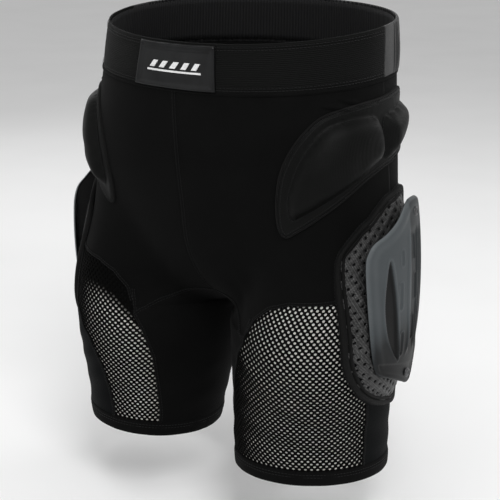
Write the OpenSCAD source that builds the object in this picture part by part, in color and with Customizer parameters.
// Padded impact shorts: stretch base layer with mesh thighs, sewn hip pads,
// a tailbone pad and a framed thigh pad with a hard shell on each side.
// Millimetres. +Z is up, the front faces -Y and the wearer's left is +X.
// The origin is on the waist's centre line, level with the top of the waistband at the side.

/* [Waist] */
// Width of the waist opening, outside
waist_w = 298; // [280:2:310]
// Distance from the origin to the front of the waistband
waist_front = 104; // [98:1:108]
// Distance from the origin to the back of the waistband
waist_back = 124; // [116:1:130]
// Height of the waistband
band_h = 46; // [36:1:52]
// How far the back of the waist stands above the front
waist_rake = 20; // [0:1:26]

/* [Seat and legs] */
// Width over the hips, without the pads
hip_w = 328; // [316:2:340]
// Height of the crotch below the waist
rise = 282; // [276:1:290]
// Height of the hem below the waist
inside_length = 430; // [422:1:440]
// Height of the hem cuff
cuff_h = 22; // [14:1:26]
// Width of one leg opening
hem_w = 140; // [132:2:148]
// Depth of one leg opening
hem_d = 158; // [148:2:166]

/* [Fabric] */
// Thickness of the stretch fabric
fabric_t = 1.4; // [1:0.1:1.6]
// Thickness of the mesh fabric
mesh_t = 1.2; // [0.8:0.1:1.4]
// Thickness of the lining behind the mesh
lining_t = 0.8; // [0.6:0.1:1]
// Thickness of the waistband casing
casing_t = 1.5; // [1.2:0.1:1.8]
// Thickness of the elastic strip inside the waistband
elastic_t = 1.4; // [1:0.1:1.6]

/* [Pads] */
// Height of the hip pads over the fabric
hip_pad_h = 13; // [10:0.5:15]
// Height of the thigh pads' foam over the fabric
thigh_pad_h = 7; // [5:0.5:9]
// Height of the tailbone pad over the fabric
tail_pad_h = 13; // [10:0.5:15]

/* [Hard shell] */
// Thickness of the hard plastic shell
shell_t = 2.6; // [2:0.1:3.2]
// Radius that the shell is curved to
shell_r = 115; // [105:1:125]
// Width of the slots through the shell
slot_w = 5; // [3:0.5:6]
// Diameter of the rivets that hold the shell
rivet_d = 5; // [4:0.5:6]

/* [Hidden] */
$fn = 48;

// ---- sections of the body that the garment wraps -------------------------
// Trunk: [height, half width, front y, back y, front squareness, back squareness]
TRUNK = [
  [0, waist_w / 2, -waist_front, waist_back, 2.05, 2],
  [-band_h - 2, waist_w / 2 + 3, -waist_front - 5, waist_back, 2.2, 2],
  [-110, hip_w / 2 - 5, -waist_front - 2, waist_back - 4, 2.5, 1.85],
  [-180, hip_w / 2, -waist_front + 7, waist_back - 6, 2.7, 1.75],
  [-272, hip_w / 2 + 12, -waist_front + 14, waist_back - 12, 2.6, 1.8]
];
// Leg: [height, centre x, centre y, half width, half depth, lean of the section]
LEG = [
  [-180, 86, 0, 90, 92, 0.25],
  [-272, 90, -10, 86, 94, 0.22],
  [-330, 95, -17, 80, 90, 0.12],
  [-400, 99, -22, hem_w / 2 + 2, hem_d / 2 + 3, -0.05],
  [-inside_length, 101, -24, hem_w / 2, hem_d / 2, -0.1]
];
split_z = -185;   // the trunk starts to divide into the legs here
crotch_z = -rise;
hem_z = -inside_length;
cuff_z = hem_z + cuff_h;
gap = 0.3;        // clearance between neighbouring pieces
lap = 0.4;        // clearance between a pad and the fabric under it
glide = 1.2;      // the same under the thigh pad, which slides over the hip as a leg swings
tuck = 0.5;       // depth of the crease fabric under its neighbours' face

function mix(a, b, t) = a + (b - a) * t;
function clamp(t) = min(1, max(0, t));
function ease(t) = let (c = clamp(t)) c * c * (3 - 2 * c);
function unit(v) = v / norm(v);

// Smooth curve through a table's rows, which run from high to low z
function slope(t, i, k) =
  i == 0 ? (t[1][k] - t[0][k]) / (t[1][0] - t[0][0]) :
  i == len(t) - 1 ? (t[i][k] - t[i - 1][k]) / (t[i][0] - t[i - 1][0]) :
  (t[i + 1][k] - t[i - 1][k]) / (t[i + 1][0] - t[i - 1][0]);
function row_of(t, z, i = 0) = i >= len(t) - 2 || z >= t[i + 1][0] ? i : row_of(t, z, i + 1);
function station(t, z, k) =
  let (c = max(t[len(t) - 1][0], min(t[0][0], z)), i = row_of(t, c),
       h = t[i + 1][0] - t[i][0], s = (c - t[i][0]) / h)
  (1 + 2 * s) * (1 - s) * (1 - s) * t[i][k] + s * (1 - s) * (1 - s) * h * slope(t, i, k)
  + s * s * (3 - 2 * s) * t[i + 1][k] + s * s * (s - 1) * h * slope(t, i + 1, k);

// Points on the garment. u runs round one half: 0 at the centre front (or the inseam),
// 0.5 at the side and 1 at the centre back. Negative u is the wearer's right half.
function powsin(s, n) = sign(s) * pow(abs(s), 2 / n);
function trunk_xy(u, z) =
  let (a = 180 * (u - 0.5), s = sin(a), f = station(TRUNK, z, 2), b = station(TRUNK, z, 3),
       n = s < 0 ? station(TRUNK, z, 4) : station(TRUNK, z, 5))
  [station(TRUNK, z, 1) * powsin(max(0, cos(a)), n), (f + b) / 2 + (b - f) / 2 * powsin(s, n)];
function leg_xy(u, z) =
  let (a = 360 * (u - 0.5), rx = station(LEG, z, 3), lean = station(LEG, z, 5))
  [station(LEG, z, 1) + rx * cos(a),
   station(LEG, z, 2) + station(LEG, z, 4) * sin(a) - lean * rx * cos(a)];
// Share of the leg's section: sudden at the crotch, gradual over the outer thigh
function legness(u, z) =
  let (fork = 1 - sqrt(1 - pow(clamp((split_z - z) / (split_z - crotch_z)), 2)),
       flow = ease((-125 - z) / 185))
  mix(flow, fork, ease(1 - 4 * min(u, 1 - u)));
function half_point(u, z) =
  let (w = legness(u, z), p = mix(trunk_xy(u, z), leg_xy(u, z), w), a = 180 * (u - 0.5),
       top = ease((z + 120) / 120), low = ease((-300 - z) / 130))
  [w < 1 ? max(0, p[0]) : p[0], p[1],
   z + top * (waist_rake / 2 * sin(a) + 2.7 * pow(cos(a), 2))
   + low * (0.03 * (p[0] - station(LEG, z, 1)) - 0.12 * (p[1] - station(LEG, z, 2)))];
function skin_point(u, z) =
  z > crotch_z ?
    let (s = u < 0 ? -1 : 1, v = abs(u), over = v > 1,
         p = half_point(over ? 2 - v : v, z))
    [p[0] * (over ? -s : s), p[1], p[2]] :
    half_point(u - floor(u), z);
STEP_U = 0.004;
STEP_Z = 0.6;
function skin_normal(u, z) =
  unit(cross(skin_point(u, z - STEP_Z) - skin_point(u, z + STEP_Z),
             skin_point(u + STEP_U, z) - skin_point(u - STEP_U, z)));
// A point at a height off over the skin
function at(u, z, off) = skin_point(u, z) + off * skin_normal(u, z);

// ---- solids on the skin ---------------------------------------------------
// Closed solid over a grid: top and bottom give [u, z, off] at shares p and q
module sheet_solid(n, m, top, bottom) {
  row = n + 1;
  count = row * (m + 1);
  function points(f) = [for (j = [0:m]) for (i = [0:n])
    let (c = f(i / n, j / m)) at(c[0], c[1], c[2])];
  edge = concat([for (i = [0:n - 1]) i], [for (j = [0:m - 1]) j * row + n],
                [for (i = [n:-1:1]) m * row + i], [for (j = [m:-1:1]) j * row]);
  polyhedron(points = concat(points(top), points(bottom)), convexity = 8,
    faces = concat(
      [for (j = [0:m - 1]) for (i = [0:n - 1]) for (h = [0, 1])
        let (a = j * row + i) h == 0 ? [a, a + 1, a + row + 1] : [a, a + row + 1, a + row]],
      [for (j = [0:m - 1]) for (i = [0:n - 1]) for (h = [0, 1])
        let (a = count + j * row + i) h == 0 ? [a, a + row + 1, a + 1] : [a, a + row, a + row + 1]],
      [for (k = [0:len(edge) - 1]) for (h = [0, 1])
        let (a = edge[k], b = edge[(k + 1) % len(edge)])
        h == 0 ? [a, count + a, b] : [b, count + a, count + b]]));
}
// Sheet of even thickness at a depth under the skin, from a map of shares to [u, z]
module sheet(n, m, t, map, depth = 0) {
  sheet_solid(n, m, function(p, q) concat(map(p, q), -depth),
              function(p, q) concat(map(p, q), -depth - t));
}
// Band that closes on itself round the waist
module ring_solid(n, zs, offs) {
  k = len(zs);
  polyhedron(convexity = 8,
    points = [for (i = [0:n - 1]) for (j = [0:k - 1]) at(-1 + 2 * i / n, zs[j], offs[j])],
    faces = [for (i = [0:n - 1]) for (j = [0:k - 1]) for (h = [0, 1])
      let (i2 = (i + 1) % n, j2 = (j + 1) % k)
      h == 0 ? [i * k + j, i * k + j2, i2 * k + j2] : [i * k + j, i2 * k + j2, i2 * k + j]]);
}
// Ring round one leg: the same, on the leg's own circle
module leg_ring(n, zs, offs) {
  k = len(zs);
  polyhedron(convexity = 8,
    points = [for (i = [0:n - 1]) for (j = [0:k - 1]) at(i / n, zs[j], offs[j])],
    faces = [for (i = [0:n - 1]) for (j = [0:k - 1]) for (h = [0, 1])
      let (i2 = (i + 1) % n, j2 = (j + 1) % k)
      h == 0 ? [i * k + j, i * k + j2, i2 * k + j2] : [i * k + j, i2 * k + j2, i2 * k + j]]);
}
// Smooth closed outline through a few points, by Catmull-Rom
function outline(pts, s) =
  let (n = len(pts), x = (s - floor(s)) * n, i = floor(x), t = x - i,
       a = pts[(i + n - 1) % n], b = pts[i % n], c = pts[(i + 1) % n], d = pts[(i + 2) % n])
  0.5 * (2 * b + (c - a) * t + (2 * a - 5 * b + 4 * c - d) * t * t
         + (3 * b - a - 3 * c + d) * t * t * t);
// Cushion in an outline round a centre: rings lists [share of the outline, top, bottom]
module cushion(pts, centre, n, rings) {
  m = len(rings);
  function ring(j, k) = [for (i = [0:n - 1])
    let (c = mix(centre, outline(pts, i / n), rings[j][0])) at(c[0], c[1], rings[j][k])];
  count = n * m;
  mids = [at(centre[0], centre[1], rings[0][1]), at(centre[0], centre[1], rings[0][2])];
  polyhedron(convexity = 8,
    points = concat([for (j = [0:m - 1]) each ring(j, 1)], [for (j = [0:m - 1]) each ring(j, 2)],
                    mids),
    faces = concat(
      [for (i = [0:n - 1]) [2 * count, (i + 1) % n, i]],
      [for (i = [0:n - 1]) [2 * count + 1, count + i, count + (i + 1) % n]],
      [for (j = [0:m - 2]) for (i = [0:n - 1]) for (h = [0, 1])
        let (a = j * n + i, b = j * n + (i + 1) % n)
        h == 0 ? [a, b, b + n] : [a, b + n, a + n]],
      [for (j = [0:m - 2]) for (i = [0:n - 1]) for (h = [0, 1])
        let (a = count + j * n + i, b = count + j * n + (i + 1) % n)
        h == 0 ? [a, b + n, b] : [a, a + n, b + n]],
      [for (i = [0:n - 1]) for (h = [0, 1])
        let (a = (m - 1) * n + i, b = (m - 1) * n + (i + 1) % n)
        h == 0 ? [a, b, count + a] : [b, count + b, count + a]]));
}
// Closed frame along an outline, between two shares of it
module frame_ring(pts, centre, n, inner, low, high) {
  prof = [[inner, low], [inner, high], [mix(inner, 1, 0.5), high + 1.2], [1, high], [1, low]];
  k = len(prof);
  polyhedron(convexity = 8,
    points = [for (i = [0:n - 1]) for (j = [0:k - 1])
      let (c = mix(centre, outline(pts, i / n), prof[j][0])) at(c[0], c[1], prof[j][1])],
    faces = [for (i = [0:n - 1]) for (j = [0:k - 1]) for (h = [0, 1])
      let (i2 = (i + 1) % n, j2 = (j + 1) % k)
      h == 0 ? [i * k + j, i2 * k + j2, i * k + j2] : [i * k + j, i2 * k + j, i2 * k + j2]]);
}

// ---- seams of the garment -------------------------------------------------
// Lower edge of the trunk's own panels, as height over u
TRUNK_EDGE = [[0, -225], [0.1, -215], [0.2, -190], [0.3, -152], [0.4, -134], [0.5, -130],
              [0.6, -138], [0.7, -162], [0.8, -185], [0.9, -205], [1, -218]];
// Where the mesh meets the inner panel, as u over height
MESH_IN = [[-290, 0.2], [-306, 0.182], [-336, 0.155], [-384, 0.13], [-405, 0.12]];
// Where the mesh meets the outer panel on the left leg and on the right leg
MESH_OUT_LEFT = [[-236, 0.395], [-252, 0.41], [-285, 0.425], [-316, 0.445], [-345, 0.47],
                 [-405, 0.46]];
MESH_OUT_RIGHT = [[-262, 0.38], [-293, 0.363], [-315, 0.327], [-336, 0.289], [-366, 0.259],
                  [-405, 0.235]];
back_seam = 0.66;   // outer panel to back panel
inseam = 0.87;      // back panel to inner panel
// Upper edge of the leg's own panels; out is where the mesh ends at the top
function leg_top(u, out) =
  u > out ? lookup(u, [[out, -236], [out + 0.03, -187], [0.64, -190], [0.75, -240],
                       [0.88, -284], [1, -286]]) :
  lookup(u, [[0, -286], [0.12, -296], [0.2, -290], [0.21, -264], [0.24, -249],
             [0.28, -241], [out, -236]]);
function mesh_out(z, left) = lookup(z, left ? MESH_OUT_LEFT : MESH_OUT_RIGHT);
function top_out(left) = mesh_out(0, left);
g_u = 0.0005;       // half a clearance, counted in u

// ---- hip pad --------------------------------------------------------------
HIP_OUTLINE = [[0.215, -181], [0.192, -174], [0.181, -155], [0.188, -130], [0.212, -108],
               [0.25, -88], [0.298, -72], [0.346, -66], [0.41, -63], [0.48, -62], [0.56, -60],
               [0.62, -62], [0.66, -75], [0.665, -95], [0.62, -112], [0.54, -117],
               [0.462, -125], [0.398, -135], [0.304, -157], [0.25, -172]];
HIP_CENTRE = [0.39, -98];
FRONT_LOBE = [[0.222, -161], [0.212, -150], [0.215, -136], [0.235, -116], [0.27, -97],
              [0.312, -84], [0.36, -79], [0.42, -78], [0.46, -83], [0.47, -96], [0.462, -109],
              [0.42, -118], [0.342, -134], [0.28, -149]];
FRONT_LOBE_CENTRE = [0.35, -108];
REAR_LOBE = [[0.49, -80], [0.56, -75], [0.62, -77], [0.636, -87], [0.61, -98], [0.55, -102],
             [0.495, -103]];
REAR_LOBE_CENTRE = [0.56, -89];

// ---- tailbone pad ---------------------------------------------------------
TAIL_OUTLINE = [[1, -62], [1.06, -64], [1.1, -74], [1.1, -100], [1.08, -140], [1.04, -172],
                [1, -184], [0.96, -172], [0.92, -140], [0.9, -100], [0.9, -74], [0.94, -64]];
TAIL_CENTRE = [1, -115];

// ---- thigh pad ------------------------------------------------------------
THIGH_OUTLINE = [[0.548, -146], [0.484, -150], [0.45, -158], [0.424, -166], [0.395, -173],
                 [0.366, -185], [0.35, -198], [0.356, -215], [0.37, -233], [0.388, -254],
                 [0.402, -275], [0.411, -295], [0.426, -316], [0.45, -335], [0.494, -350],
                 [0.56, -360], [0.61, -354], [0.636, -330], [0.645, -290], [0.648, -240],
                 [0.642, -200], [0.622, -168], [0.59, -150]];
THIGH_CENTRE = [0.51, -245];
binding_share = 0.9;

// ---- hard shell: a curved plate, drawn flat with x towards the back, y up --
SHELL_POS = [192.5, -10, -242];
shell_lean = -1;    // the shell's foot stands out further than its top
shell_bow = 650;    // radius of its slight bow from top to foot
SHELL_OUTLINE = [[40, 87], [20, 90], [8, 87], [-8, 75], [-25, 66], [-40, 60], [-47, 52], [-50, 42],
                 [-50, 20], [-48, -7], [-44, -37], [-39, -58], [-32, -70], [-11, -80],
                 [10, -90], [24, -96], [34, -90], [38, -60], [42, -20], [46, 20], [48, 50], [47, 78]];
SLOTS = [[-7, 40, 14], [-10, 4, 25], [-6, -44, 22], [18, 45, 22], [20, 6, 24], [17, -34, 24]];
RIVETS = [[27, 76], [14, -81]];

// ---- modules, one for each piece ------------------------------------------
module on_side(left) {
  if (left) children();
  else mirror([1, 0, 0]) children();
}
module band(u0, u1) {
  sheet(44, 3, casing_t, function(p, q) [mix(u0 + g_u, u1 - g_u, p), mix(-0.3, -band_h, q)]);
}
module waistband_front() {
  color([0.055, 0.055, 0.06]) band(-0.5, 0.5);
}
module waistband_back() {
  color([0.06, 0.06, 0.065]) band(0.5, 1.5);
}
module waist_elastic() {
  in = -casing_t - gap;
  color([0.16, 0.16, 0.16])
    ring_solid(72, [-3, -band_h + 3, -band_h + 3, -3], [in, in, in - elastic_t, in - elastic_t]);
}
label_u = 0.088;
module label_patch() {
  color([0.13, 0.13, 0.13])
    sheet_solid(12, 3, function(p, q) [mix(-label_u, label_u, p), mix(-1.5, -band_h + 1, q), 1.6],
                function(p, q) [mix(-label_u, label_u, p), mix(-1.5, -band_h + 1, q), 0.2]);
}
module label_emblem() {
  rim = 0.55;
  color([0.8, 0.8, 0.8])
    sheet_solid(8, 2, function(p, q) [mix(-rim, rim, p) * label_u, mix(-17, -29, q), 2.4],
                function(p, q) [mix(-rim, rim, p) * label_u, mix(-17, -29, q), 1.7]);
}
module trunk_panel(u0, u1, n) {
  sheet(n, 8, fabric_t, function(p, q)
    let (u = mix(u0 + g_u, u1 - g_u, p)) [u, mix(-band_h - gap, lookup(u, TRUNK_EDGE) + gap, q)]);
}
module front_panel(left) {
  color([0.05, 0.052, 0.055]) on_side(left) trunk_panel(0, 0.5, 15);
}
module seat_panel(left) {
  color([0.05, 0.052, 0.055]) on_side(left) trunk_panel(0.5, 1, 15);
}
module hip_pad_foam_front(left) {
  color([0.2, 0.2, 0.21]) on_side(left)
    cushion(FRONT_LOBE, FRONT_LOBE_CENTRE, 24,
            [[0.25, 0.74 * hip_pad_h, lap], [0.5, 0.72 * hip_pad_h, lap],
             [0.7, 0.68 * hip_pad_h, lap], [0.86, 0.6 * hip_pad_h, lap],
             [1, 0.25 * hip_pad_h, lap]]);
}
module hip_pad_foam_rear(left) {
  color([0.2, 0.2, 0.21]) on_side(left)
    cushion(REAR_LOBE, REAR_LOBE_CENTRE, 20,
            [[0.3, 0.72 * hip_pad_h, lap], [0.6, 0.7 * hip_pad_h, lap],
             [0.86, 0.58 * hip_pad_h, lap], [1, 0.25 * hip_pad_h, lap]]);
}
module hip_pad_cover(left) {
  h = hip_pad_h;
  t = 1.4;
  color([0.06, 0.06, 0.063]) on_side(left)
    cushion(HIP_OUTLINE, HIP_CENTRE, 38,
            [[0.2, h, h - t], [0.4, h, h - t], [0.6, h, h - t], [0.78, h, h - t],
             [0.9, 0.72 * h, 0.72 * h - t], [0.955, 2.2, 0.9], [1, 2, lap]]);
}
module tailbone_pad_foam() {
  color([0.2, 0.2, 0.21])
    cushion(TAIL_OUTLINE, TAIL_CENTRE, 24,
            [[0.2, 0.74 * tail_pad_h, lap], [0.4, 0.72 * tail_pad_h, lap],
             [0.6, 0.68 * tail_pad_h, lap], [0.72, 0.6 * tail_pad_h, lap],
             [0.8, 0.25 * tail_pad_h, lap]]);
}
module tailbone_pad_cover() {
  h = tail_pad_h;
  t = 1.4;
  color([0.06, 0.06, 0.063])
    cushion(TAIL_OUTLINE, TAIL_CENTRE, 28,
            [[0.2, h, h - t], [0.4, h, h - t], [0.6, h, h - t], [0.78, h, h - t],
             [0.88, 0.7 * h, 0.7 * h - t], [0.94, 2.2, 0.9], [1, 2, lap]]);
}
// Strip under the crotch, from the front seam to the back seam
module crotch_gusset() {
  half_u = 0.047;
  rows = 7;
  low = crotch_z - 1;
  function spot(p, q) =
    let (back = q > 0.5, t = back ? (1 - q) * 2 : q * 2, w = half_u * abs(2 * p - 1),
         u = back ? 1 - w : w, s = p < 0.5 ? -1 : 1)
    [s * u, mix(lookup(u, TRUNK_EDGE) - 2 * gap, low, sqrt(t))];
  function side_of(p, q, off) =
    let (c = spot(p, q), s = p < 0.5 ? -1 : 1, a = skin_point(abs(c[0]), c[1]),
         inward = [0, q < 0.5 ? 0.55 : -0.55, 0.83])
    [s * a[0], a[1], a[2]] - off * inward;
  color([0.045, 0.045, 0.05]) {
    n = 8;
    m = 2 * rows;
    row = n + 1;
    count = row * (m + 1);
    edge = concat([for (i = [0:n - 1]) i], [for (j = [0:m - 1]) j * row + n],
                  [for (i = [n:-1:1]) m * row + i], [for (j = [m:-1:1]) j * row]);
    polyhedron(
      points = concat([for (j = [0:m]) for (i = [0:n]) side_of(i / n, j / m, 0)],
                      [for (j = [0:m]) for (i = [0:n]) side_of(i / n, j / m, -fabric_t)]),
      convexity = 8,
      faces = concat(
        [for (j = [0:m - 1]) for (i = [0:n - 1]) for (h = [0, 1])
          let (a = j * row + i) h == 0 ? [a, a + 1, a + row + 1] : [a, a + row + 1, a + row]],
        [for (j = [0:m - 1]) for (i = [0:n - 1]) for (h = [0, 1])
          let (a = count + j * row + i)
          h == 0 ? [a, a + row + 1, a + 1] : [a, a + row, a + row + 1]],
        [for (k = [0:len(edge) - 1]) for (h = [0, 1])
          let (a = edge[k], b = edge[(k + 1) % len(edge)])
          h == 0 ? [a, count + a, b] : [b, count + a, count + b]]));
  }
}
// Columns from a to b that include every kink of the seams, so that neighbours match
function kinks(out) = [-0.12, 0, 0.1, 0.12, 0.2, 0.21, 0.24, 0.28, 0.3, out, out + 0.03, 0.45,
                       0.5, 0.6, 0.64, 0.7, 0.75, 0.8, 0.88, 0.9];
function columns(a, b, out, cell) =
  let (k = [a, each [for (x = kinks(out)) if (x > a + 0.002 && x < b - 0.002) x], b])
  concat([for (i = [0:len(k) - 2]) let (m = ceil((k[i + 1] - k[i]) / cell))
    for (j = [0:m - 1]) mix(k[i], k[i + 1], j / m)], [b]);
// Stretch fabric between the trunk's panels and the leg's panels
module crease_panel(left) {
  out = top_out(left);
  cols = columns(0.05, 0.95, out, 0.025);
  n = len(cols) - 1;
  color([0.05, 0.052, 0.055]) on_side(left)
    sheet(n, 5, fabric_t, function(p, q)
      let (u = cols[round(p * n)])
      [u, mix(lookup(u, TRUNK_EDGE) - gap, leg_top(u, out) + gap, q)], tuck);
}
// One panel of the leg between two seams, given as functions of height
module leg_panel(left, t, u_in, u_out, depth = 0) {
  out = top_out(left);
  a = u_in(0) + g_u;
  b = u_out(0) - g_u;
  cols = columns(a, b, out, 0.023);
  n = len(cols) - 1;
  on_side(left)
    sheet(n, 9, t, function(p, q)
      let (u_top = cols[round(p * n)], share = (u_top - a) / (b - a),
           z = mix(leg_top(u_top, out) - gap, cuff_z + gap, q))
      [mix(u_in(z) + g_u, u_out(z) - g_u, share), z], depth);
}
module inner_thigh_panel(left) {
  color([0.045, 0.045, 0.05])
    leg_panel(left, fabric_t, function(z) inseam - 1, function(z) lookup(z, MESH_IN));
}
module thigh_mesh(left) {
  color([0.35, 0.34, 0.33])
    leg_panel(left, mesh_t, function(z) lookup(z, MESH_IN), function(z) mesh_out(z, left));
}
module mesh_lining(left) {
  color([0.62, 0.6, 0.57])
    leg_panel(left, lining_t, function(z) lookup(z, MESH_IN) + 0.006,
              function(z) mesh_out(z, left) - 0.006, mesh_t + lap);
}
module outer_thigh_panel(left) {
  color([0.075, 0.08, 0.095])
    leg_panel(left, fabric_t, function(z) mesh_out(z, left), function(z) back_seam);
}
module back_thigh_panel(left) {
  color([0.05, 0.052, 0.055])
    leg_panel(left, fabric_t, function(z) back_seam, function(z) inseam);
}
module hem_cuff(left) {
  t = 2;
  color([0.05, 0.05, 0.052]) on_side(left)
    leg_ring(56, [cuff_z - gap, hem_z, hem_z, cuff_z - gap], [0.2, 0.2, 0.2 - t, 0.2 - t]);
}
module thigh_pad_binding(left) {
  color([0.04, 0.04, 0.042]) on_side(left)
    frame_ring(THIGH_OUTLINE, THIGH_CENTRE, 57, binding_share, glide, 5);
}
module thigh_pad_foam(left) {
  h = thigh_pad_h;
  share = binding_share - 0.02;
  color([0.2, 0.2, 0.21]) on_side(left)
    cushion(THIGH_OUTLINE, THIGH_CENTRE, 38,
            [[0.14, h - 2, glide], [0.28, h - 2, glide], [0.42, h - 2, glide],
             [0.57, h - 2, glide], [0.72, h - 2, glide], [share, h - 4, glide]]);
}
module thigh_pad_cover(left) {
  h = thigh_pad_h;
  t = 1.2;
  share = binding_share - 0.02;
  color([0.16, 0.16, 0.165]) on_side(left)
    cushion(THIGH_OUTLINE, THIGH_CENTRE, 38,
            [[0.14, h, h - t], [0.28, h, h - t], [0.42, h, h - t], [0.57, h, h - t],
             [0.72, h, h - t], [share, h - 2, h - 2 - t]]);
}
// Places a child drawn flat, x towards the back and y up, so that its z points outwards
module at_shell(left) {
  on_side(left) translate(SHELL_POS) rotate([0, shell_lean, 0]) rotate([90, 0, 90]) children();
}
module shell_flat() {
  polygon([for (i = [0:95]) outline(SHELL_OUTLINE, i / 96)]);
}
module slot(x, y, length) {
  hull() {
    translate([x, y - length / 2 + slot_w / 2]) circle(d = slot_w, $fn = 24);
    translate([x, y + length / 2 - slot_w / 2]) circle(d = slot_w, $fn = 24);
  }
}
// How far the shell's face lies under its middle
function shell_sag(x, y) = shell_r - sqrt(shell_r * shell_r - x * x) + y * y / (2 * shell_bow);
module barrel() {
  reach = 110;
  steps = 10;
  ys = [for (i = [0:steps]) mix(-reach, reach, i / steps)];
  translate([0, 0, -shell_r]) rotate([-90, 0, 0]) rotate_extrude($fn = 96)
    polygon(concat([for (y = ys) [shell_r - shell_sag(0, y), y]],
                   [for (i = [steps:-1:0]) [shell_r - shell_t - shell_sag(0, ys[i]), ys[i]]]));
}
module thigh_shell(left) {
  color([0.22, 0.22, 0.225]) at_shell(left) intersection() {
    barrel();
    translate([0, 0, -shell_r / 2]) linear_extrude(shell_r) difference() {
      shell_flat();
      for (s = SLOTS) slot(s[0], s[1], s[2]);
      for (r = RIVETS) translate(r) circle(d = rivet_d + 0.4, $fn = 24);
    }
  }
}
module shell_rivets(left) {
  head_h = 1.2;
  head_gap = 1.2;
  shank = shell_t + 4;
  color([0.25, 0.25, 0.255]) at_shell(left) for (r = RIVETS) {
    translate([r[0], r[1], -shell_sag(r[0], r[1])]) {
      translate([0, 0, head_gap]) cylinder(d = rivet_d * 1.8, h = head_h, $fn = 32);
      translate([0, 0, -shank]) cylinder(d = rivet_d, h = shank + head_gap, $fn = 32);
    }
  }
}

waistband_front();
waistband_back();
waist_elastic();
label_patch();
label_emblem();
front_panel(true);  // front_panel_left
front_panel(false);  // front_panel_right
seat_panel(true);  // seat_panel_left
seat_panel(false);  // seat_panel_right
hip_pad_foam_front(true);  // hip_pad_foam_front_left
hip_pad_foam_front(false);  // hip_pad_foam_front_right
hip_pad_foam_rear(true);  // hip_pad_foam_rear_left
hip_pad_foam_rear(false);  // hip_pad_foam_rear_right
hip_pad_cover(true);  // hip_pad_cover_left
hip_pad_cover(false);  // hip_pad_cover_right
tailbone_pad_foam();
tailbone_pad_cover();
crotch_gusset();
crease_panel(true);  // crease_panel_left
crease_panel(false);  // crease_panel_right
inner_thigh_panel(true);  // inner_thigh_panel_left
inner_thigh_panel(false);  // inner_thigh_panel_right
thigh_mesh(true);  // thigh_mesh_left
thigh_mesh(false);  // thigh_mesh_right
outer_thigh_panel(true);  // outer_thigh_panel_left
outer_thigh_panel(false);  // outer_thigh_panel_right
back_thigh_panel(true);  // back_thigh_panel_left
back_thigh_panel(false);  // back_thigh_panel_right
hem_cuff(true);  // hem_cuff_left
hem_cuff(false);  // hem_cuff_right
thigh_pad_binding(true);  // thigh_pad_binding_left
thigh_pad_binding(false);  // thigh_pad_binding_right
thigh_pad_foam(true);  // thigh_pad_foam_left
thigh_pad_foam(false);  // thigh_pad_foam_right
thigh_pad_cover(true);  // thigh_pad_cover_left
thigh_pad_cover(false);  // thigh_pad_cover_right
thigh_shell(true);  // thigh_shell_left
thigh_shell(false);  // thigh_shell_right
shell_rivets(true);  // shell_rivets_left
shell_rivets(false);  // shell_rivets_right
mesh_lining(true);  // mesh_lining_left
mesh_lining(false);  // mesh_lining_right
